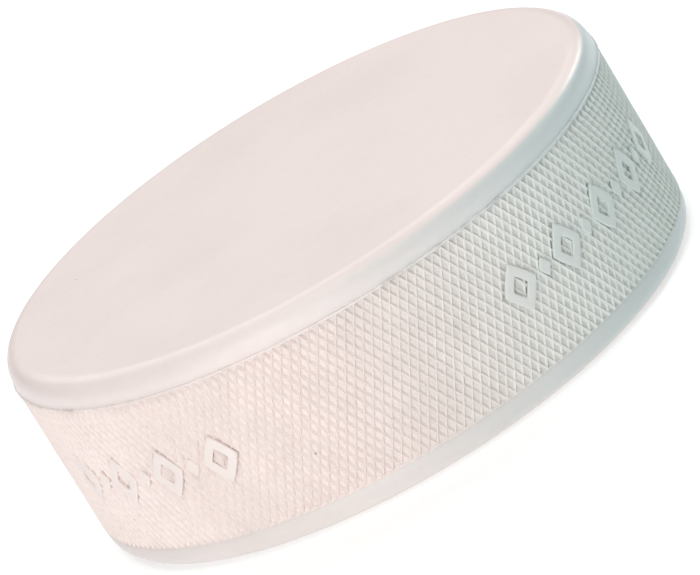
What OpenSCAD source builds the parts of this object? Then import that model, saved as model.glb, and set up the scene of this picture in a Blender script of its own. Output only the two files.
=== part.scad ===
// Ice hockey puck: a solid disc of vulcanised rubber, moulded in one piece.
// It is drawn as the regions that the mould leaves on it: a smooth cap at each face, the thick
// disc with the knurled side band between them, the thin line of flash where the mould parts,
// and two rows of raised marks on the band. Each region is a solid that meets its neighbours
// face to face. Units are millimetres. The puck lies on z = 0, with its axis along +Z.

/* [Puck] */
// Diameter over the crests of the knurled band
puck_d = 76.2; // [64:0.1:90]
// Thickness between the two flat faces
puck_h = 25.4; // [20:0.1:32]

/* [Smooth caps] */
// Height of each smooth cap, from its flat face to the edge of the knurled band
cap_h = 3.2; // [2.8:0.05:5]
// Radius of the rounded rim between a flat face and the cap's wall
rim_r = 2.25; // [0.8:0.05:2.7]
// Draft of the cap's wall, in degrees from the axis
cap_draft = 5.4; // [1:0.1:12]
// Ledge of the knurled band that shows outside the foot of each cap
cap_ledge = 0.06; // [0.02:0.01:0.1]

/* [Flash line] */
// Radius of the bead of flash that runs along the upper edge of the band
flash_r = 0.2; // [0.18:0.01:0.4]
// Height of the bead above the band
flash_proud = 0.08; // [0.05:0.01:0.12]

/* [Raised marks] */
// Height of the marks above the band
mark_raise = 0.15; // [0.1:0.05:0.6]
// Size of an open lozenge along the puck's axis
ring_h = 6; // [4:0.1:9]
// Size of an open lozenge around the band
ring_w = 4.6; // [3.6:0.1:6]
// Width of an open lozenge's stroke
stroke_w = 1; // [0.5:0.05:1.2]
// Size of a solid lozenge along the puck's axis
dot_h = 2.3; // [1:0.1:4]
// Size of a solid lozenge around the band
dot_w = 1.7; // [0.8:0.1:3]
// Gap between neighbouring marks, measured around the band
mark_gap = 0.74; // [0.3:0.02:2]

/* [Rows of marks] */
// Open lozenges in the long row
long_row_rings = 5; // [2:1:7]
// Angle of the long row's middle about the axis, in degrees
long_row_angle = -41.9; // [-50:0.1:-36]
// Open lozenges in the short row
short_row_rings = 4; // [2:1:6]
// Angle of the short row's middle about the axis, in degrees
short_row_angle = -142.3; // [-150:0.1:-135]

/* [Hidden] */
$fn = 180;

puck_r = puck_d / 2;
band_low_z = cap_h;
band_top_z = puck_h - cap_h;
mid_z = puck_h / 2;

// A cap's half section: its wall starts cap_ledge inside the band and leans in by the draft.
foot_r = puck_r - cap_ledge;
wall_h = cap_h - rim_r * (1 - sin(cap_draft));
rim_centre = [foot_r - wall_h * tan(cap_draft) - rim_r * cos(cap_draft), cap_h - rim_r];
wall_dir = [cos(cap_draft), sin(cap_draft)];
face_dir = [0, 1];

// The bead of flash is centred under the band's surface, on the plane where the cap begins.
flash_centre_r = puck_r + flash_proud - flash_r;

mark_pitch = (ring_w + dot_w) / 2 + mark_gap;
mark_root = 1;

white_rubber = [0.92, 0.88, 0.86];
knurl_rubber = [0.87, 0.85, 0.83];
mark_rubber = [0.95, 0.92, 0.9];

// Half section of a cap that stands on z = 0 with its flat face up: a wall with draft, then a
// quarter round that runs into the face. The round is a true arc, cut as a sector of a circle.
module cap_section() {
    polygon([
        [0, 0],
        [foot_r, 0],
        rim_centre + rim_r * wall_dir,
        rim_centre,
        rim_centre + rim_r * face_dir,
        [0, cap_h]
    ]);
    intersection() {
        translate(rim_centre) circle(r = rim_r);
        polygon([
            rim_centre,
            rim_centre + 2 * rim_r * wall_dir,
            rim_centre + 2 * rim_r * (wall_dir + face_dir),
            rim_centre + 2 * rim_r * face_dir
        ]);
    }
}

// A cap with its flat face up and its foot on z = 0.
module cap() {
    rotate_extrude() cap_section();
}

// Outline of a lozenge that is w wide and h high, centred on the origin.
module lozenge(w, h) {
    polygon([[w / 2, 0], [0, h / 2], [-w / 2, 0], [0, -h / 2]]);
}

// Outline of an open lozenge: the hole is the same lozenge with each side moved in by one stroke.
module open_lozenge() {
    side = norm([ring_w, ring_h]);
    difference() {
        lozenge(ring_w, ring_h);
        lozenge(ring_w - 2 * stroke_w * side / ring_h, ring_h - 2 * stroke_w * side / ring_w);
    }
}

// The i-th mark of a row: open and solid lozenges take turns, starting with an open one.
module mark_outline(i) {
    if (i % 2 == 0) open_lozenge();
    else lozenge(dot_w, dot_h);
}

// A row of marks, with an open lozenge at each end and its middle at the angle at. Each mark is
// a prism along its own radius, trimmed to the band's surface inside and to one level outside.
module mark_row(rings, at) {
    marks = 2 * rings - 1;
    step = mark_pitch / puck_r * 180 / PI;
    difference() {
        intersection() {
            cylinder(r = puck_r + mark_raise, h = puck_h);
            for (i = [0 : marks - 1])
                rotate([0, 0, at + (i - (marks - 1) / 2) * step])
                    translate([puck_r - mark_root, 0, mid_z])
                        rotate([90, 0, 90])
                            linear_extrude(height = mark_root + 2 * mark_raise)
                                mark_outline(i);
        }
        cylinder(r = puck_r, h = puck_h);
    }
}

// The thick middle disc; its side is the band that carries the knurl.
module knurled_body() {
    color(knurl_rubber)
        translate([0, 0, band_low_z])
            cylinder(r = puck_r, h = band_top_z - band_low_z);
}

module top_cap() {
    color(white_rubber) translate([0, 0, band_top_z]) cap();
}

module bottom_cap() {
    color(white_rubber) translate([0, 0, band_low_z]) mirror([0, 0, 1]) cap();
}

// A thin bead around the upper edge of the band, outside both the band and the cap's wall.
module flash_line() {
    color(white_rubber)
        translate([0, 0, band_top_z])
            rotate_extrude()
                difference() {
                    translate([flash_centre_r, 0]) circle(r = flash_r);
                    translate([0, -cap_h]) square([puck_r, cap_h]);
                    cap_section();
                }
}

module long_mark_row() {
    color(mark_rubber) mark_row(long_row_rings, long_row_angle);
}

module short_mark_row() {
    color(mark_rubber) mark_row(short_row_rings, short_row_angle);
}

knurled_body();
top_cap();
bottom_cap();
flash_line();
long_mark_row();
short_mark_row();
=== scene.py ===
"""Looks of a white rubber ice hockey puck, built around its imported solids.

The puck is one moulding. Each class below makes one region of it as a closed surface that is
computed with numpy, in metres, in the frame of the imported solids: the bottom face lies on z = 0
and the axis is +Z. Angles are counted about that axis, from +X.
"""

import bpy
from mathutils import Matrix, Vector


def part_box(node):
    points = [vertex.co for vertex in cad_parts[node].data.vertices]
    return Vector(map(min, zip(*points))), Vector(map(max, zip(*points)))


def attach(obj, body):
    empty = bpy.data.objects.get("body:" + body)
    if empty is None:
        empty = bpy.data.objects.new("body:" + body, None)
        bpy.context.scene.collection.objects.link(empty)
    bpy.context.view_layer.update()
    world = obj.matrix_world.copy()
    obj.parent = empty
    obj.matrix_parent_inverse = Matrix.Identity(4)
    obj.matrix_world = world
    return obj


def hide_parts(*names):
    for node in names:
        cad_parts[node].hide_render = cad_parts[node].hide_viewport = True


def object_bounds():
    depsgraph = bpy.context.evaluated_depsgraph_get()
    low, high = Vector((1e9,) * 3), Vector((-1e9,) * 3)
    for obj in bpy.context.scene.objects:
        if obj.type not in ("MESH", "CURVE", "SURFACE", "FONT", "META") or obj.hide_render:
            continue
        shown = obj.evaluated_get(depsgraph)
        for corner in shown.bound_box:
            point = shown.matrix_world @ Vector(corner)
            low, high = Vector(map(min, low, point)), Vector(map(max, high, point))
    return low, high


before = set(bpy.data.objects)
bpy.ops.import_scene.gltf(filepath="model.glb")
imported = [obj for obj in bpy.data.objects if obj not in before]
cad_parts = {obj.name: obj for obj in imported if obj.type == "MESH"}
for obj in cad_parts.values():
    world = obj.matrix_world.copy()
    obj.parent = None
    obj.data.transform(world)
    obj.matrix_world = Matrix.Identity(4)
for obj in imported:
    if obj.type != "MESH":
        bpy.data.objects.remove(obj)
CAD_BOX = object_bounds()
SEAM_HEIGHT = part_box("top_cap")[0].z

import logging
import math
from dataclasses import dataclass, replace
from enum import Enum
from typing import Mapping, Optional, Sequence, Union

import bpy
import numpy as np
from mathutils import Matrix, Quaternion, Vector

LOG = logging.getLogger("puck")
MM = 0.001
TURN = 2.0 * math.pi
BODY = "root"
BAND_NODE = "knurled_body"
PIT_ATTRIBUTE = "pit_depth"

Array = np.ndarray
Colour = tuple[float, float, float]
Profile = tuple[tuple[float, float], ...]

BLACK: Colour = (0.0, 0.0, 0.0)
WHITE: Colour = (1.0, 1.0, 1.0)


def srgb(red: int, green: int, blue: int) -> Colour:
    """Turn a display colour into the linear colour that shaders take.

    Args:
        red, green, blue: the display values, from 0 to 255.

    Returns:
        The linear colour, from the usual curve: a line near black, and a power of 2.4 above it.
    """
    display = np.array([red, green, blue]) / 255.0
    linear = np.where(display <= 0.04045, display / 12.92, ((display + 0.055) / 1.055) ** 2.4)
    return tuple(float(x) for x in linear)


# ---------------------------------------------------------------- surfaces


def make_piece(
    name: str, points: Array, faces: Sequence[Array], smooth: bool = True
) -> bpy.types.Object:
    """Put points and faces into a mesh object at the origin.

    Args:
        name: the piece's name.
        points: the vertices, one row of x, y, z each, in metres.
        faces: arrays of vertex numbers, one array for each kind of face, such as (n, 4) for quads.
        smooth: whether the faces are shaded as one smooth surface.

    Returns:
        The object, linked to the scene.
    """
    corners = np.concatenate([kind.ravel() for kind in faces])
    sizes = np.concatenate([np.full(len(kind), kind.shape[1]) for kind in faces])
    starts = np.concatenate([[0], np.cumsum(sizes)[:-1]])
    mesh = bpy.data.meshes.new(name)
    mesh.vertices.add(len(points))
    mesh.vertices.foreach_set("co", points.astype(np.float32).ravel())
    mesh.loops.add(len(corners))
    mesh.loops.foreach_set("vertex_index", corners.astype(np.int32))
    mesh.polygons.add(len(sizes))
    mesh.polygons.foreach_set("loop_start", starts.astype(np.int32))
    mesh.polygons.foreach_set("use_smooth", np.full(len(sizes), smooth))
    mesh.update(calc_edges=True)
    piece = bpy.data.objects.new(name, mesh)
    bpy.context.scene.collection.objects.link(piece)
    return piece


def around_axis(radius: Array, angle: Array, height: Array) -> Array:
    """Points from cylindrical coordinates: x = radius cos angle, y = radius sin angle, z = height."""
    radius, angle, height = np.broadcast_arrays(radius, angle, height)
    return np.stack([radius * np.cos(angle), radius * np.sin(angle), height], axis=-1)


def grid_corners(rows: int, columns: int, close_rows: bool) -> tuple[Array, Array, Array, Array]:
    """Corner numbers of the quads of a grid whose columns close into rings.

    The corners run along a row first and then to the next row. So a grid whose columns turn by
    the right-hand rule about the way out of the surface has its faces pointing out.

    Args:
        rows: the number of rings.
        columns: the number of points in each ring.
        close_rows: whether the last ring joins the first, as on a torus.

    Returns:
        The first, second, third and fourth corner of every quad.
    """
    row = np.arange(rows if close_rows else rows - 1)[:, None]
    column = np.arange(columns)[None, :]
    next_row, next_column = (row + 1) % rows, (column + 1) % columns
    return (
        (row * columns + column).ravel(),
        (row * columns + next_column).ravel(),
        (next_row * columns + next_column).ravel(),
        (next_row * columns + column).ravel(),
    )


def capped(rings: Array, low_pole: Sequence[float], top_pole: Sequence[float]) -> tuple[Array, Array]:
    """Close a stack of rings with a fan of triangles at each end.

    Args:
        rings: (rows, columns, 3) points, from the lowest ring over the outside to the top one.
        low_pole: the point that the first ring closes to.
        top_pole: the point that the last ring closes to.

    Returns:
        All the points, and the triangles of both fans.
    """
    rows, columns, _ = rings.shape
    points = np.vstack([rings.reshape(-1, 3), low_pole, top_pole])
    here = np.arange(columns)
    after = (here + 1) % columns
    first, last = rows * columns, rows * columns + 1
    top = (rows - 1) * columns
    low_fan = np.stack([np.full(columns, first), after, here], axis=1)
    top_fan = np.stack([np.full(columns, last), top + here, top + after], axis=1)
    return points, np.vstack([low_fan, top_fan])


def turned(radii: Array, heights: Array, columns: int) -> tuple[Array, list[Array]]:
    """Surface of revolution: each profile point becomes a ring, and both ends close on the axis.

    Args:
        radii: the profile's distances from the axis, from its lower end to its upper end.
        heights: the profile's heights.
        columns: the number of points in each ring.

    Returns:
        The points and the faces of the closed surface.
    """
    angle = np.arange(columns) * TURN / columns
    rings = around_axis(radii[:, None], angle[None, :], heights[:, None])
    points, fans = capped(rings, (0, 0, heights[0]), (0, 0, heights[-1]))
    return points, [np.stack(grid_corners(len(radii), columns, False), axis=1), fans]


def ripple(angle: Array, waves: Sequence[int], rng: np.random.Generator) -> Array:
    """Uneven but seamless variation round the axis, within about -1 to 1.

    It is the sum of sin(n angle + phase) over the given whole numbers n of waves, each with its
    own phase, divided by twice the square root of half their number.

    Args:
        angle: where to evaluate it, in radians.
        waves: how many waves each term makes in a full turn.
        rng: the source of the phases.

    Returns:
        The variation, in the shape of angle.
    """
    phases = rng.uniform(0, TURN, len(waves))
    total = sum(np.sin(n * angle + phase) for n, phase in zip(waves, phases))
    return total / math.sqrt(len(waves) / 2.0) / 2.0


def scatter(rng: np.random.Generator, shape: Union[int, tuple[int, int]]) -> Array:
    """Normally distributed numbers about 0, held within two spreads of it."""
    return rng.normal(size=shape).clip(-2, 2)


# ---------------------------------------------------------------- shaders

# The part of a dot's radius within which it is full.
DOT_CORE = 0.4


class Wire:
    """A shader socket that can be used in arithmetic; each operator adds one Math node."""

    def __init__(self, graph: "ShaderGraph", socket: bpy.types.NodeSocket) -> None:
        """Remember the socket and the graph that new nodes go into."""
        self.graph = graph
        self.socket = socket

    def math(self, operation: str, *others: "Term") -> "Wire":
        """Apply a Math node with this socket as its first value.

        Args:
            operation: the Math node's operation.
            others: the node's further values.

        Returns:
            The result.
        """
        values = dict(enumerate((self, *others)))
        return self.graph.node("ShaderNodeMath", {"operation": operation}, values)

    def __add__(self, other: "Term") -> "Wire":
        """Sum."""
        return self.math("ADD", other)

    def __sub__(self, other: "Term") -> "Wire":
        """Difference."""
        return self.math("SUBTRACT", other)

    def __mul__(self, other: "Term") -> "Wire":
        """Product."""
        return self.math("MULTIPLY", other)

    def __pow__(self, other: "Term") -> "Wire":
        """Power."""
        return self.math("POWER", other)

    def __rsub__(self, other: float) -> "Wire":
        """A number less this value."""
        return self.graph.node("ShaderNodeMath", {"operation": "SUBTRACT"}, {0: other, 1: self})

    __radd__ = __add__
    __rmul__ = __mul__

    def rise(self, start: float, end: float) -> "Wire":
        """Smooth step: 0 where this value is at start, 1 where it is at end.

        Args:
            start: the value that gives 0.
            end: the value that gives 1; it may be below start.

        Returns:
            The step, held between 0 and 1.
        """
        low, high = min(start, end), max(start, end)
        step = self.graph.node(
            "ShaderNodeMapRange",
            {"interpolation_type": "SMOOTHSTEP"},
            {"Value": self, "From Min": low, "From Max": high},
        )
        return step if start < end else 1.0 - step


Term = Union[Wire, float]
Feed = Union[Wire, float, Sequence[float]]


class ShaderGraph:
    """The node tree of one material, with a method that makes any node."""

    def __init__(self, name: str) -> None:
        """Start an empty material of that name."""
        self.material = bpy.data.materials.new(name)
        self.material.use_nodes = True
        self.tree = self.material.node_tree
        self.tree.nodes.clear()

    def node(
        self,
        kind: str,
        settings: Optional[Mapping[str, object]] = None,
        inputs: Optional[Mapping[Union[str, int], Feed]] = None,
        output: Union[str, int] = 0,
    ) -> Wire:
        """Add a node.

        Args:
            kind: the node's type.
            settings: the node's own properties, which are set before its sockets are.
            inputs: a value or a wire for each input socket, by name or number.
            output: the output socket to return, by name or number.

        Returns:
            The chosen output; the node that ends a material has none.
        """
        made = self.tree.nodes.new(kind)
        for key, value in (settings or {}).items():
            setattr(made, key, value)
        for key, value in (inputs or {}).items():
            if isinstance(value, Wire):
                self.tree.links.new(value.socket, made.inputs[key])
            else:
                made.inputs[key].default_value = value
        return Wire(self, made.outputs[output] if made.outputs else None)

    def mix(self, share: Term, first: Feed, second: Feed) -> Wire:
        """Blend two colours: first where share is 0, second where it is 1."""
        rgba = [c if isinstance(c, Wire) else (*c, 1.0) for c in (first, second)]
        return self.node(
            "ShaderNodeMix", {"data_type": "RGBA"}, {0: share, 6: rgba[0], 7: rgba[1]}, output=2
        )

    def object_point(self) -> Wire:
        """The shaded point in the piece's own coordinates, which are the puck's."""
        return self.node("ShaderNodeTexCoord", output="Object")

    def axis(self, point: Wire, name: str) -> Wire:
        """One component of a vector: X, Y or Z."""
        return self.node("ShaderNodeSeparateXYZ", inputs={0: point}, output=name)

    def noise(self, point: Wire, per_mm: float, detail: float = 2.0, roughness: float = 0.5) -> Wire:
        """Cloudy value between 0 and 1.

        Args:
            point: where it is evaluated.
            per_mm: how many clouds there are in a millimetre.
            detail: the number of finer layers.
            roughness: how much the finer layers count.

        Returns:
            The value.
        """
        inputs = {"Vector": point, "Scale": per_mm / MM, "Detail": detail, "Roughness": roughness}
        return self.node("ShaderNodeTexNoise", inputs=inputs)

    def specks(self, point: Wire, per_mm: float, size: float, share: float) -> Wire:
        """Small scattered dots: 1 inside a dot and 0 elsewhere.

        Space is cut into random cells, and a cell holds a dot only if its random number is above
        one less the share. The dot fades out towards its edge from DOT_CORE of its radius.

        Args:
            point: where it is evaluated.
            per_mm: how many cells there are in a millimetre.
            size: a dot's radius as a part of a cell.
            share: the part of the cells that hold a dot.

        Returns:
            The mask.
        """
        cells = {"Vector": point, "Scale": per_mm / MM}
        distance = self.node("ShaderNodeTexVoronoi", inputs=cells, output="Distance")
        chance = self.node("ShaderNodeTexVoronoi", inputs=cells, output="Color")
        drawn = self.node("ShaderNodeSeparateColor", inputs={0: chance})
        return distance.rise(size, size * DOT_CORE) * drawn.math("GREATER_THAN", 1.0 - share)

    def finish_with(self, shader: Wire) -> bpy.types.Material:
        """End the material with a shader, and return it."""
        self.node("ShaderNodeOutputMaterial", inputs={"Surface": shader})
        return self.material


# Where the painted shade on the side fades in, as distances from the axis, outside the flat faces.
SIDE_SHADE_EDGE = (36.9 * MM, 37.5 * MM)
# The x where the side's painted shade starts and where it is full, and how far the mottle moves that
# front.
SIDE_SHADE_FRONT = (-13.0 * MM, 36.0 * MM)
SIDE_SHADE_WAVER = 8.0 * MM
# How far off the seam its painted shade ends, and how far off it is still full.
SEAM_SHADE_REACH = (0.45 * MM, 0.1 * MM)
# The part of the painted shade in the pits that lies everywhere; the rest comes in patches.
LEAST_PIT_SHADE = 0.3


@dataclass(frozen=True)
class RubberFinish:
    """One finish of the puck's white rubber.

    Attributes:
        name: the material's name.
        slot: the name of a material slot; it is not used.
        base: the clean rubber.
        cloud: the faintly darker tone that drifts over it.
        side_shade: the cooler, darker tone that the puck's side drifts to towards +X, painted on as
            shade.
        dirt_and_shade: the dark tone of the specks of dirt and of the painted shade in the pits and
            along the seam.
        rough_low, rough_high: the limits that the roughness drifts between.
        sheen: the strength of the surface reflection; 0.5 is that of common plastics.
        grain: the height of the fine skin texture, in millimetres.
        pit_shade: painted shade in the pits between the ridges, deeper pits darker, from 0 to 1.
        seam_shade: painted shade in streaks along the crease of the mould's seam, from 0 to 1.
        speck_share: the part of the cells that hold a speck of dirt.
        speck_strength: how dark a speck is, from 0 to 1.
        drift_share, mottle_share: how far the wide drift and the finer one take the colour from
            base to cloud.
    """

    name: str
    slot: str
    base: Colour
    cloud: Colour
    side_shade: Colour
    dirt_and_shade: Colour
    rough_low: float
    rough_high: float
    sheen: float
    grain: float
    pit_shade: float
    speck_share: float
    seam_shade: float = 0.0
    speck_strength: float = 0.75
    drift_share: float = 0.6
    mottle_share: float = 0.3

    def rubber(self, graph: ShaderGraph, point: Wire, mottle: Wire) -> Wire:
        """Colour of the rubber, with painted shade on the puck's side.

        It drifts between base and cloud over centimetres. The puck's side carries painted shade
        towards +X:
        outside the flat faces the colour nears the side_shade tone as x grows, along a wavering
        front.

        Args:
            graph: the material's nodes.
            point: the shaded point.
            mottle: the finer drift, from 0 to 1.

        Returns:
            The colour.
        """
        drift = graph.noise(point, per_mm=0.06, detail=3.0)
        wide, fine = drift.rise(0.35, 0.7), mottle.rise(0.45, 0.75)
        clouding = wide * self.drift_share + fine * self.mottle_share
        x, y = graph.axis(point, "X"), graph.axis(point, "Y")
        # Painted shade: outside the flat faces the side is painted darker and cooler towards +X.
        side = (x ** 2.0 + y ** 2.0).math("SQRT").rise(*SIDE_SHADE_EDGE)
        front = (x + (mottle - 0.5) * SIDE_SHADE_WAVER).rise(*SIDE_SHADE_FRONT)
        return graph.mix(side * front, graph.mix(clouding, self.base, self.cloud), self.side_shade)

    def with_dirt_and_shade(self, graph: ShaderGraph, point: Wire, colour: Wire) -> Wire:
        """Lay painted shade in the knurl's pits and along the seam, and specks of dirt, on a colour.

        Args:
            graph: the material's nodes.
            point: the shaded point.
            colour: the colour under the dust.

        Returns:
            The colour with its dirt and painted shade.
        """
        # Painted shade in the pits: the deeper a point lies under the crests, the darker, in patches.
        if self.pit_shade:
            pit = graph.node("ShaderNodeAttribute", {"attribute_name": PIT_ATTRIBUTE}, output="Fac")
            patches = graph.noise(point, per_mm=0.25, detail=3.0).rise(0.3, 0.75)
            pit_shading = pit * (patches * (1.0 - LEAST_PIT_SHADE) + LEAST_PIT_SHADE)
            colour = graph.mix(pit_shading * self.pit_shade, colour, self.dirt_and_shade)
        # Painted shade in streaks along the crease at the upper seam.
        if self.seam_shade:
            near = (graph.axis(point, "Z") - SEAM_HEIGHT).math("ABSOLUTE").rise(*SEAM_SHADE_REACH)
            streaks = graph.noise(point, per_mm=0.35, detail=4.0, roughness=0.65).rise(0.5, 0.72)
            colour = graph.mix(near * streaks * self.seam_shade, colour, self.dirt_and_shade)
        dots = graph.specks(point, per_mm=0.8, size=0.16, share=self.speck_share)
        return graph.mix(dots * self.speck_strength, colour, self.dirt_and_shade)

    def material(self) -> bpy.types.Material:
        """Build the material.

        The roughness follows the finer drift of the colour, and the skin's grain is noise
        through a Bump node.

        Returns:
            The material.
        """
        graph = ShaderGraph(self.name)
        point = graph.object_point()
        mottle = graph.noise(point, per_mm=0.9, detail=4.0, roughness=0.6)
        colour = self.with_dirt_and_shade(graph, point, self.rubber(graph, point, mottle))
        roughness = mottle.rise(0.3, 0.7) * (self.rough_high - self.rough_low) + self.rough_low
        skin = graph.noise(point, per_mm=3.0, detail=3.0, roughness=0.6) * self.grain * MM
        bump = graph.node("ShaderNodeBump", inputs={"Height": skin, "Distance": 1.0, "Strength": 1.0})
        shader = graph.node("ShaderNodeBsdfPrincipled", inputs={
            "Base Color": colour,
            "Roughness": roughness,
            "Specular IOR Level": self.sheen,
            "Normal": bump,
        })
        return graph.finish_with(shader)


SMOOTH_RUBBER = RubberFinish(
    name="smooth_white_rubber",
    slot="smooth_rubber",
    base=srgb(239, 227, 224),
    cloud=srgb(232, 221, 217),
    side_shade=srgb(201, 214, 215),
    dirt_and_shade=srgb(120, 110, 104),
    rough_low=0.3,
    rough_high=0.4,
    sheen=0.32,
    grain=0.004,
    pit_shade=0.0,
    speck_share=0.004,
    seam_shade=0.35,
)
# The bottom cap, which faces the floor: a darker tone painted on as shade, and more specks of dirt.
SHADED_SPECKED_RUBBER = replace(
    SMOOTH_RUBBER,
    name="shaded_specked_white_rubber",
    base=srgb(231, 222, 219),
    cloud=srgb(224, 215, 211),
    side_shade=srgb(198, 210, 211),
    speck_share=0.008,
)
KNURLED_RUBBER = RubberFinish(
    name="knurled_white_rubber",
    slot="knurled_rubber",
    base=srgb(246, 233, 229),
    cloud=srgb(239, 226, 221),
    side_shade=srgb(215, 224, 221),
    dirt_and_shade=srgb(150, 140, 132),
    rough_low=0.38,
    rough_high=0.5,
    sheen=0.35,
    grain=0.006,
    pit_shade=0.12,
    speck_share=0.014,
    seam_shade=0.35,
)
MARK_RUBBER = RubberFinish(
    name="raised_white_rubber",
    slot="mark_rubber",
    base=srgb(243, 231, 227),
    cloud=srgb(236, 224, 219),
    side_shade=srgb(203, 216, 214),
    dirt_and_shade=srgb(150, 140, 132),
    rough_low=0.32,
    rough_high=0.44,
    sheen=0.35,
    grain=0.004,
    pit_shade=0.0,
    speck_share=0.004,
)


# ---------------------------------------------------------------- the puck's regions


def settle(piece: bpy.types.Object, finish: RubberFinish, node: str) -> bpy.types.Object:
    """Give a piece its finish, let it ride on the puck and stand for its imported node.

    Args:
        piece: the finished piece.
        finish: the rubber that it shows.
        node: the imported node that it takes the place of.

    Returns:
        The piece.
    """
    material = bpy.data.materials.get(finish.name) or finish.material()
    piece.data.materials.append(material)
    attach(piece, BODY)
    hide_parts(node)
    LOG.info("%s: %d faces, %s, for node %s", piece.name, len(piece.data.polygons), finish.name, node)
    return piece


def node_points(node: str) -> Array:
    """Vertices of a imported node, one row of x, y, z each, in metres."""
    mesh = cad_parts[node].data
    points = np.empty(len(mesh.vertices) * 3, np.float32)
    mesh.vertices.foreach_get("co", points)
    return points.reshape(-1, 3).astype(float)


def reach(points: Array) -> float:
    """Largest distance of the points from the puck's axis."""
    return float(np.hypot(points[:, 0], points[:, 1]).max())


class End(Enum):
    """The two ends of the puck, by the sign of the way that their flat face points."""

    TOP = 1
    BOTTOM = -1


@dataclass
class Cap:
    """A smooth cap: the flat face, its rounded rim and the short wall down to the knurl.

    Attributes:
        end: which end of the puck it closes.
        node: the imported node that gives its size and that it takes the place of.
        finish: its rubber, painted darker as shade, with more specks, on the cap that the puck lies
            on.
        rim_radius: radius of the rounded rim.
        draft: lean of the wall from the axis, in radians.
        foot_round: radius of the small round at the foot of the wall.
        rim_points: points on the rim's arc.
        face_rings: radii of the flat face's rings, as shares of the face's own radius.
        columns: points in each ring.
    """

    end: End
    node: str
    finish: RubberFinish = SMOOTH_RUBBER
    rim_radius: float = 2.25 * MM
    draft: float = math.radians(5.4)
    foot_round: float = 0.04 * MM
    rim_points: int = 25
    face_rings: tuple[float, ...] = (0.995, 0.98, 0.9, 0.7, 0.4, 0.1)
    columns: int = 540

    def section(self) -> Array:
        """Half section of the cap, as (radius, height over the foot), from the foot to the face.

        The foot has one ring four rounds further in, which keeps its shading flat. The wall leans
        in by the draft. The rim is the arc centre + radius (cos a, sin a) with a from the draft to
        a right angle, so it is tangent to the wall and to the face. The face closes in on the axis
        in rings that are close together near the rim, where they keep its shading flat too.

        Returns:
            The section's points.
        """
        points = node_points(self.node)
        foot_radius = reach(points)
        height = float(np.ptp(points[:, 2]))
        wall = height - self.rim_radius * (1.0 - math.sin(self.draft))
        centre = np.array([
            foot_radius - wall * math.tan(self.draft) - self.rim_radius * math.cos(self.draft),
            height - self.rim_radius,
        ])
        foot = np.array([
            [foot_radius - 4.0 * self.foot_round, 0.0],
            [foot_radius - self.foot_round, 0.0],
            [foot_radius, self.foot_round],
        ])
        turn = np.linspace(self.draft, math.pi / 2.0, self.rim_points)
        rim = centre + self.rim_radius * np.stack([np.cos(turn), np.sin(turn)], axis=1)
        inward = centre[0] * np.array(self.face_rings)
        face = np.stack([inward, np.full(len(inward), height)], axis=1)
        return np.vstack([foot, rim, face])

    def build(self) -> bpy.types.Object:
        """Turn the section about the axis and dress it.

        Returns:
            The piece.
        """
        low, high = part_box(self.node)
        radii, rise = self.section().T
        if self.end is End.TOP:
            points, faces = turned(radii, low.z + rise, self.columns)
        else:
            points, faces = turned(radii[::-1], (high.z - rise)[::-1], self.columns)
        return settle(make_piece(f"{self.node}_skin", points, faces), self.finish, self.node)


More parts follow.
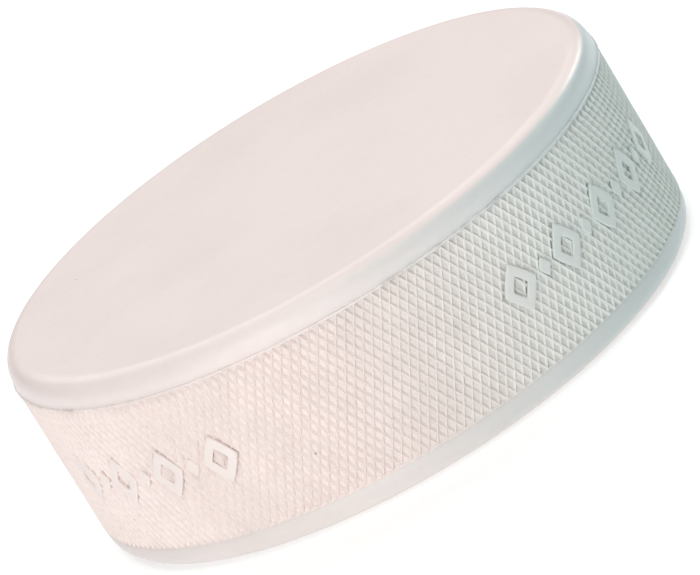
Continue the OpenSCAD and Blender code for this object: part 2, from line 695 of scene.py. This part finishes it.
@dataclass
class KnurledBand:
    """The thick middle disc, whose side carries two families of fine ridges that cross.

    The side is drawn in slanting coordinates: a counts the first family's ridges and b the
    second's, so the crests are the lines where a or b is a whole number. The angle grows with
    the mean of a and b, and the height with their difference. Grid lines of both run along the
    crests, shoulders and feet of the ridges, so every flank is a flat face.

    Attributes:
        node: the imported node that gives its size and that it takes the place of.
        starts: ridges of each family round the puck.
        crossings: how far a and b drift apart from the knurl's lower edge to its upper edge.
        pitch: the height of a lozenge.
        ridge_height: how far the first family's ridges stand over the pits between them.
        first_profile, second_profile: half of a ridge's cross-section in each family, from the
            crest over the shoulder to the foot: the distance from the crest, as a share of the
            spacing of ridges, and the share of ridge_height.
        crest_depth: how far the crests lie under the band's radius, as a share of ridge_height.
        edge_ledge: how far the band's edges lie under its radius.
        unevenness: scatter of the heights of single pits, as a share; ridges have half as much.
        swell, swell_waves: how much all ridges slowly grow and shrink round the band, as a share,
            and in how many waves.
        seed: the seed of the scatter and of the slow waves.
    """

    node: str = BAND_NODE
    starts: int = 210
    crossings: int = 18
    pitch: float = 2.055 * MM
    ridge_height: float = 0.33 * MM
    first_profile: Profile = ((0.0, 1.0), (0.12, 0.45), (0.27, 0.0))
    second_profile: Profile = ((0.0, 0.86), (0.08, 0.5), (0.17, 0.0))
    crest_depth: float = 0.1
    edge_ledge: float = 0.05 * MM
    unevenness: float = 0.06
    swell: float = 0.1
    swell_waves: tuple[int, ...] = (3, 5, 8, 13)
    seed: int = 11

    def lines(self) -> list[tuple[Array, Array]]:
        """Places of the grid lines within one spacing of ridges, and the ridge's height there.

        Returns:
            For each family, the places, from 0 at one crest to just under 1 at the next, and the
            heights' shares.
        """
        halves = [np.array(profile).T for profile in (self.first_profile, self.second_profile)]
        return [
            (np.append(place, 1.0 - place[:0:-1]), np.append(level, level[:0:-1]))
            for place, level in halves
        ]

    def relief(self, first: Array, second: Array) -> Array:
        """Height of the ridges at grid points, from 0 in a pit to about 1 on a crest.

        Each family's height follows its profile, times the ridge's own random strength, and
        where two ridges meet the higher one counts.

        Args:
            first, second: the running numbers of the grid lines of a and b through the points.

        Returns:
            The height's share.
        """
        rng = np.random.default_rng(self.seed)
        heights = []
        for number, (place, level) in zip((first, second), self.lines()):
            count = len(place)
            ridge = (number + count // 2) // count % self.starts
            strength = 1.0 + self.unevenness * scatter(rng, self.starts) * 0.5
            heights.append(level[number % count] * strength[ridge])
        return np.maximum(*heights)

    def pit_scatter(self, first: Array, second: Array) -> Array:
        """Random height of the pit that each grid point lies in, the same all over one pit.

        Args:
            first, second: the running numbers of the grid lines of a and b through the points.

        Returns:
            The height over the mean, as a share of ridge_height.
        """
        count = len(self.lines()[0][0])
        column, across = first // count, first // count - second // count
        table = scatter(np.random.default_rng(self.seed + 1), (self.starts, self.crossings + 2))
        return table[column % self.starts, across] * self.unevenness

    def build(self) -> bpy.types.Object:
        """Raise the ridges from a sunk cylinder, run them out at the edges, and dress it.

        The grid point (a, b) lies at (a + b) / 2 / starts of a turn round the puck and at
        (a - b - crossings / 2) / 2 pitches over the band's middle.

        Returns:
            The piece.
        """
        low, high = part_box(self.node)
        radius = reach(node_points(self.node))
        count = len(self.lines()[0][0])
        second = np.arange(self.starts * count)[None, :]
        first = second + np.arange(self.crossings * count + 1)[:, None]
        a, b = (
            number // count + place[number % count]
            for number, (place, _) in zip((first, second), self.lines())
        )
        angle = (a + b) / 2.0 * TURN / self.starts
        height = (low.z + high.z) / 2.0 + (a - b - self.crossings / 2.0) / 2.0 * self.pitch
        share = self.relief(first, second)
        slow = 1.0 + self.swell * ripple(angle, self.swell_waves, np.random.default_rng(self.seed))
        level = share * slow + (1.0 - share) * self.pit_scatter(first, second)
        depth = (1.0 + self.crest_depth - level) * self.ridge_height
        field = around_axis(radius - depth, angle, height)
        rim = radius - self.edge_ledge
        edges = [around_axis(rim, angle[row], z)[None] for row, z in ((0, low.z), (-1, high.z))]
        rings = np.concatenate([edges[0], field, edges[1]])
        points, fans = capped(rings, (0, 0, low.z), (0, 0, high.z))
        piece = make_piece("knurled_band", points, [*self.faces(share), fans], smooth=False)
        # How deep each point lies under the crests, which the material paints as shade in the pits.
        depths = np.pad(1.0 - share, ((1, 1), (0, 0))).ravel()
        depths = np.append(depths, [0.0, 0.0]).astype(np.float32)
        attribute = piece.data.attributes.new(PIT_ATTRIBUTE, "FLOAT", "POINT")
        attribute.data.foreach_set("value", depths)
        return settle(piece, KNURLED_RUBBER, self.node)

    def faces(self, share: Array) -> list[Array]:
        """Faces of the side: a triangulated field of slanting cells, and a strip at each edge.

        A slanting cell has a grid point at its left, bottom, right and top. It is split along
        its lower diagonal, because the relief is the higher of two ridges and so is hollow
        where they meet. The lowest and the highest row have only half cells.

        Args:
            share: the relief at every point of the field.

        Returns:
            The triangles and the edge strips' quads.
        """
        rows, columns = share.shape
        number = np.arange((rows + 2) * columns).reshape(rows + 2, columns)
        after = np.roll(number, -1, axis=1)
        left, right = number[2:-2], after[2:-2]
        bottom, top = after[1:-3], number[3:-1]
        level = np.pad(share, ((1, 1), (0, 0))).ravel()
        level_way = level[left] + level[right] <= level[bottom] + level[top]
        cells = np.stack([left, bottom, right, left, right, top], axis=-1)[level_way]
        steep = np.stack([left, bottom, top, bottom, right, top], axis=-1)[~level_way]
        low_half = np.stack([number[1], after[1], number[2]], axis=-1)
        high_half = np.stack([number[-2], after[-3], after[-2]], axis=-1)
        strips = [
            np.stack([number[row], after[row], after[row + 1], number[row + 1]], axis=-1)
            for row in (0, rows)
        ]
        triangles = [part.reshape(-1, 3) for part in (cells, steep, low_half, high_half)]
        return [np.concatenate(triangles), np.concatenate(strips)]


@dataclass
class FlashLine:
    """The thin ridge of flash that the mould's parting leaves along the band's upper edge.

    Attributes:
        node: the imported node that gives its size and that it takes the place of.
        columns: points round the puck.
        rows: points round the ridge.
        raggedness, ragged_waves: how much the ridge swells and shrinks, as a share of its own
            radius, and in how many waves round the puck.
        waver, waver_waves: how far it wanders up and down, in the same way.
        seed: the seed of its unevenness.
    """

    node: str = "flash_line"
    columns: int = 1440
    rows: int = 10
    raggedness: float = 0.2
    ragged_waves: tuple[int, ...] = (17, 41, 73, 131, 197)
    waver: float = 0.1
    waver_waves: tuple[int, ...] = (7, 23, 59)
    seed: int = 5

    def build(self) -> bpy.types.Object:
        """Sweep an uneven round ridge along the edge and dress it.

        The ridge is a torus whose small radius and height drift by ripple() with the angle.

        Returns:
            The piece.
        """
        low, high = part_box(self.node)
        ridge = (high.z - low.z) / 2.0
        rng = np.random.default_rng(self.seed)
        angle = np.arange(self.columns)[None, :] * TURN / self.columns
        swell = 1.0 + self.raggedness * ripple(angle, self.ragged_waves, rng)
        waver = self.waver * ridge * ripple(angle, self.waver_waves, rng)
        tilt = np.arange(self.rows)[:, None] * TURN / self.rows
        centre = reach(node_points(self.node)) - ridge
        rings = around_axis(
            centre + ridge * swell * np.cos(tilt),
            angle,
            (low.z + high.z) / 2.0 + waver + ridge * swell * np.sin(tilt),
        )
        quads = np.stack(grid_corners(self.rows, self.columns, True), axis=1)
        piece = make_piece("flash_ridge", rings.reshape(-1, 3), [quads])
        return settle(piece, SMOOTH_RUBBER, self.node)


class Mark(Enum):
    """The two kinds of raised mark that take turns in a row."""

    OPEN = "open lozenge"
    SOLID = "solid lozenge"


@dataclass
class MarkRow:
    """A row of raised lozenges that follows the band, with open and solid ones taking turns.

    Attributes:
        node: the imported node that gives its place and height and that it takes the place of.
        name: the piece's name.
        rings: how many open lozenges it has.
        open_width: an open lozenge's width round the band.
        stroke: the width of an open lozenge's stroke.
        solid_width, solid_height: a solid lozenge's size.
        root: how deep the marks start under the lozenges of the knurl.
        corner: how round the corners are; 1 is sharp and 2 makes the outline an ellipse.
        shoulder: how square the stroke's shoulders are; 2 is half round.
        crown: the innermost ring on a solid lozenge's flat top, as a share of its outline.
        samples: points on each outline.
    """

    node: str
    name: str
    rings: int
    open_width: float = 4.6 * MM
    stroke: float = 1.0 * MM
    solid_width: float = 1.7 * MM
    solid_height: float = 2.3 * MM
    root: float = 0.35 * MM
    corner: float = 1.12
    shoulder: float = 3.5
    crown: float = 0.2
    samples: int = 72

    def outline(self, width: Array, height: Array) -> tuple[Array, Array]:
        """Closed outlines of lozenges with slightly rounded corners.

        Each is the superellipse x = w sgn(cos t) |cos t|^(2/p), y = h sgn(sin t) |sin t|^(2/p),
        with p the corner value and w and h half of the width and the height.

        Args:
            width, height: the outlines' sizes, one each.

        Returns:
            The points' places round the band and along the axis, one row for each outline.
        """
        turn = np.arange(self.samples)[None, :] * TURN / self.samples
        bend = [np.sign(f(turn)) * np.abs(f(turn)) ** (2.0 / self.corner) for f in (np.cos, np.sin)]
        return width[:, None] / 2.0 * bend[0], height[:, None] / 2.0 * bend[1]

    def shoulders(self, start: float, end: float, count: int) -> tuple[Array, Array]:
        """Cross-section of a stroke's top: flat in the middle and round at its shoulders.

        It is the superellipse share = cos^(2/q) t, rise = sin^(2/q) t, with q the shoulder value.

        Args:
            start, end: the turns t that it runs between, as parts of a half turn.
            count: the number of points.

        Returns:
            The share of the half width, from 1 to -1, and the share of the height.
        """
        turn = np.linspace(start, end, count) * math.pi
        across = np.sign(np.cos(turn)) * np.abs(np.cos(turn)) ** (2.0 / self.shoulder)
        return across, np.clip(np.sin(turn), 0.0, 1.0) ** (2.0 / self.shoulder)

    def open_lozenge(self, height: float, raised: float) -> tuple[Array, Array, list[Array]]:
        """A raised open lozenge, as a closed ring of stroke.

        The ring at the share s of the stroke is the outline drawn in by (1 - s) / 2 stroke. For
        sides that move in by d, the width shrinks by 2 d hypot(width, height) / height, and the
        height by the same over the width.

        Args:
            height: the lozenge's size along the axis.
            raised: how far its stroke stands over the band.

        Returns:
            The points as (round the band, along the axis) and their heights over the band, and
            the faces.
        """
        diagonal = math.hypot(self.open_width, height)
        across, rise = self.shoulders(0.0, 1.0, count=15)
        across = np.concatenate([[1.0], across, [-1.0]])
        level = np.concatenate([[-self.root], rise * raised, [-self.root]])
        inset = self.stroke * (1.0 - across) * diagonal
        x, y = self.outline(self.open_width - inset / height, height - inset / self.open_width)
        faces = [np.stack(grid_corners(*x.shape, True), axis=1)]
        return np.stack([x, y], axis=-1).reshape(-1, 2), np.repeat(level, x.shape[1]), faces

    def solid_lozenge(self, raised: float) -> tuple[Array, Array, list[Array]]:
        """A raised solid lozenge.

        Its shoulder's rings are the outline scaled by 1 - (1 - s) stroke / width, with s their
        share of the stroke, and a fan closes the flat top within the crown's ring.

        Args:
            raised: how far it stands over the band.

        Returns:
            As open_lozenge() does.
        """
        across, rise = self.shoulders(0.0, 0.5, count=9)
        inset = (1.0 - across) * self.stroke / self.solid_width
        share = np.concatenate([[1.0], 1.0 - inset, [self.crown]])
        level = np.concatenate([[-self.root], rise * raised, [raised]])
        x, y = self.outline(self.solid_width * share, self.solid_height * share)
        rings = np.stack([x, y, np.broadcast_to(level[:, None], x.shape)], axis=-1)
        points, fans = capped(rings, (0, 0, -self.root), (0, 0, raised))
        faces = [np.stack(grid_corners(*x.shape, False), axis=1), fans]
        return points[:, :2], points[:, 2], faces

    def build(self) -> bpy.types.Object:
        """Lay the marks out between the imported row's ends, wrap them round the band and dress them.

        A mark's point at (x, y) and height h goes to radius + h, angle + x / radius, middle + y.

        Returns:
            The piece.
        """
        packed = node_points(self.node)
        radius = reach(node_points(BAND_NODE))
        raised = reach(packed) - radius
        height = float(np.ptp(packed[:, 2]))
        middle = float(packed[:, 2].min() + packed[:, 2].max()) / 2.0
        angles = np.arctan2(packed[:, 1], packed[:, 0])
        half = self.open_width / 2.0 / radius
        places = np.linspace(angles.min() + half, angles.max() - half, 2 * self.rings - 1)
        kinds = [(Mark.OPEN, Mark.SOLID)[i % 2] for i in range(len(places))]
        points, quads, fans, count = [], [], [], 0
        for kind, place in zip(kinds, places):
            flat, level, faces = (
                self.open_lozenge(height, raised) if kind is Mark.OPEN else self.solid_lozenge(raised)
            )
            angle = place + flat[:, 0] / radius
            points.append(around_axis(radius + level, angle, middle + flat[:, 1]))
            quads.append(faces[0] + count)
            fans.extend(face + count for face in faces[1:])
            count += len(flat)
        piece = make_piece(self.name, np.vstack(points), [np.vstack(quads), np.vstack(fans)])
        return settle(piece, MARK_RUBBER, self.node)


# ---------------------------------------------------------------- the studio


@dataclass(frozen=True)
class SoftLight:
    """A rectangular soft light that looks at the puck.

    Attributes:
        name: the light's name.
        azimuth, elevation: where it stands, seen from the puck, in degrees from +X and the floor.
        watts: its power.
        colour: its linear colour.
        distance: how far away it is, in metres.
        width, height: its size, in metres.
        tilt: its turn about the line to the puck, in degrees.
    """

    name: str
    azimuth: float
    elevation: float
    watts: float
    colour: Colour
    distance: float = 1.5
    width: float = 1.0
    height: float = 1.0
    tilt: float = 0.0

    def build(self, target: Vector) -> bpy.types.Object:
        """Place the light and turn it to the target.

        Args:
            target: the point that it looks at.

        Returns:
            The light's object.
        """
        light = bpy.data.lights.new(self.name, "AREA")
        light.shape = "RECTANGLE"
        light.size, light.size_y = self.width, self.height
        light.energy = self.watts
        light.color = self.colour
        lamp = bpy.data.objects.new(self.name, light)
        azimuth, elevation = math.radians(self.azimuth), math.radians(self.elevation)
        away = Vector((
            math.cos(azimuth) * math.cos(elevation),
            math.sin(azimuth) * math.cos(elevation),
            math.sin(elevation),
        ))
        lamp.location = target + away * self.distance
        turn = Quaternion((0.0, 0.0, 1.0), math.radians(self.tilt))
        lamp.rotation_euler = (away.to_track_quat("Z", "Y") @ turn).to_euler()
        lamp.visible_camera = False
        bpy.context.scene.collection.objects.link(lamp)
        return lamp


@dataclass
class Studio:
    """A plain pale floor with a white wall round it, soft lights and the camera.

    Attributes:
        lights: the soft lights.
        floor_half: half the side of the floor, in metres.
        floor_colour: the floor's linear colour.
        floor_glow: the light that the floor gives by itself near the puck, as a light table does.
        glow_near, glow_far: where that light starts to grow towards white and where it is white,
            as distances from the puck's axis, in metres.
        wall_reach, wall_height: radius and height of the round white wall, in metres.
        wall_sides: the number of its flat sides.
        roughness: of the floor and the wall, which are matt.
        elevation, roll: the camera's height over the floor and its turn about its own line of
            sight, in degrees.
        distance: from the puck's centre to the camera, in metres.
        lens, sensor: the focal length and the width of the sensor, in millimetres.
        clip: the nearest and the farthest that the camera sees, in metres.
        aside, below: how far the line of sight passes to the right of the puck's centre and
            under it, as the camera sees it, in metres.
    """

    lights: Sequence[SoftLight]
    floor_half: float = 4.0
    floor_colour: Colour = (0.72, 0.72, 0.72)
    floor_glow: Colour = (0.41, 0.42, 0.42)
    glow_near: float = 0.35
    glow_far: float = 0.9
    wall_reach: float = 3.5
    wall_height: float = 2.0
    wall_sides: int = 96
    roughness: float = 0.9
    elevation: float = 17.57
    roll: float = 31.36
    distance: float = 0.770
    lens: float = 349.6
    sensor: float = 36.0
    clip: tuple[float, float] = (0.01, 100.0)
    aside: float = 0.52 * MM
    below: float = 0.72 * MM

    def floor(self) -> bpy.types.Object:
        """Lay the floor at z = 0, with a glow that grows to white away from the puck.

        Returns:
            The floor.
        """
        corners = np.array([[-1, -1, 0], [1, -1, 0], [1, 1, 0], [-1, 1, 0]]) * self.floor_half
        plane = make_piece("floor", corners, [np.array([[0, 1, 2, 3]])])
        graph = ShaderGraph("pale_floor")
        point = graph.object_point()
        away = graph.node("ShaderNodeVectorMath", {"operation": "LENGTH"}, {0: point}, output="Value")
        glow = graph.mix(away.rise(self.glow_near, self.glow_far), self.floor_glow, WHITE)
        return self.stand(plane, graph, self.floor_colour, glow)

    def wall(self) -> bpy.types.Object:
        """Stand a round white wall on the floor, which only the camera sees.

        Returns:
            The wall.
        """
        angle = np.arange(self.wall_sides) * TURN / self.wall_sides
        heights = np.array([[0.0], [self.wall_height]])
        rings = around_axis(self.wall_reach, angle[None, :], heights)
        quads = np.stack(grid_corners(2, self.wall_sides, False), axis=1)
        wall = make_piece("wall", rings.reshape(-1, 3), [quads])
        wall.visible_diffuse = wall.visible_glossy = wall.visible_shadow = False
        return self.stand(wall, ShaderGraph("white_wall"), BLACK, (*WHITE, 1.0))

    def stand(
        self, thing: bpy.types.Object, graph: ShaderGraph, colour: Colour, glow: Feed
    ) -> bpy.types.Object:
        """Give a part of the stage its matt material.

        Args:
            thing: the floor or the wall.
            graph: the material's nodes so far.
            colour: its linear colour.
            glow: the light that it gives by itself.

        Returns:
            The same object.
        """
        shader = graph.node("ShaderNodeBsdfPrincipled", inputs={
            "Base Color": (*colour, 1.0),
            "Roughness": self.roughness,
            "Emission Color": glow,
            "Emission Strength": 1.0,
        })
        material = graph.finish_with(shader)
        material.cycles.emission_sampling = "NONE"
        thing.data.materials.append(material)
        return thing

    def surroundings(self) -> None:
        """Keep out all light but the lamps' and the stage's, and show colours as they are."""
        world = bpy.data.worlds.new("studio")
        world.use_nodes = True
        backdrop = world.node_tree.nodes["Background"]
        backdrop.inputs["Color"].default_value = (*BLACK, 1.0)
        backdrop.inputs["Strength"].default_value = 1.0
        bpy.context.scene.world = world
        bpy.context.scene.view_settings.view_transform = "Standard"

    def camera(self, centre: Vector) -> bpy.types.Object:
        """Stand the camera in front of the puck, raised, rolled and aimed a little off centre.

        Args:
            centre: the puck's centre.

        Returns:
            The camera.
        """
        elevation, roll = math.radians(self.elevation), math.radians(self.roll)
        back = Vector((0.0, -math.cos(elevation), math.sin(elevation)))
        level_right = Vector((1.0, 0.0, 0.0))
        level_up = back.cross(level_right)
        right = math.cos(roll) * level_right - math.sin(roll) * level_up
        up = math.sin(roll) * level_right + math.cos(roll) * level_up
        eye = centre + back * self.distance
        aim = centre + right * self.aside - up * self.below
        back = (eye - aim).normalized()
        right = (right - back * right.dot(back)).normalized()
        up = back.cross(right)
        data = bpy.data.cameras.new("camera")
        data.sensor_width = self.sensor
        data.lens = self.lens
        data.clip_start, data.clip_end = self.clip
        camera = bpy.data.objects.new("camera", data)
        turn = Matrix((right, up, back)).transposed()
        camera.matrix_world = Matrix.Translation(eye) @ turn.to_4x4()
        bpy.context.scene.collection.objects.link(camera)
        bpy.context.scene.camera = camera
        return camera

    def build(self, centre: Vector) -> None:
        """Set up the whole studio round the puck.

        Args:
            centre: the puck's centre.
        """
        self.camera(centre)
        self.floor()
        self.wall()
        self.surroundings()
        for light in self.lights:
            light.build(centre)
            LOG.info("%s: %.1f W", light.name, light.watts)


LIGHTS = (
    SoftLight("front_low", azimuth=-117.0, elevation=20.0, watts=11.1, colour=(0.98, 0.99, 1.0)),
    SoftLight("front_top", azimuth=-90.0, elevation=70.0, watts=9.8, colour=(1.0, 1.0, 0.95)),
    SoftLight(
        "back_top", azimuth=90.0, elevation=50.0, watts=15.4, colour=(1.0, 0.945, 0.97),
        width=1.6, height=1.6,
    ),
    SoftLight("right_high", azimuth=30.0, elevation=40.0, watts=3.6, colour=(0.9, 0.98, 1.0)),
    SoftLight(
        "rim_glint", azimuth=49.0, elevation=23.5, watts=1.6, colour=(1.0, 1.0, 0.95),
        distance=1.0, width=0.4, height=0.07, tilt=-46.0,
    ),
)


def main() -> None:
    """Build the puck and its studio, and report each piece."""
    logging.basicConfig(level=logging.INFO, format="%(name)s: %(message)s")
    low, high = CAD_BOX
    Studio(lights=LIGHTS).build((low + high) / 2.0)
    Cap(End.TOP, "top_cap").build()
    Cap(End.BOTTOM, "bottom_cap", SHADED_SPECKED_RUBBER).build()
    KnurledBand().build()
    FlashLine().build()
    MarkRow("long_mark_row", "long_row_marks", rings=5).build()
    MarkRow("short_mark_row", "short_row_marks", rings=4).build()


if __name__ == "__main__":
    main()
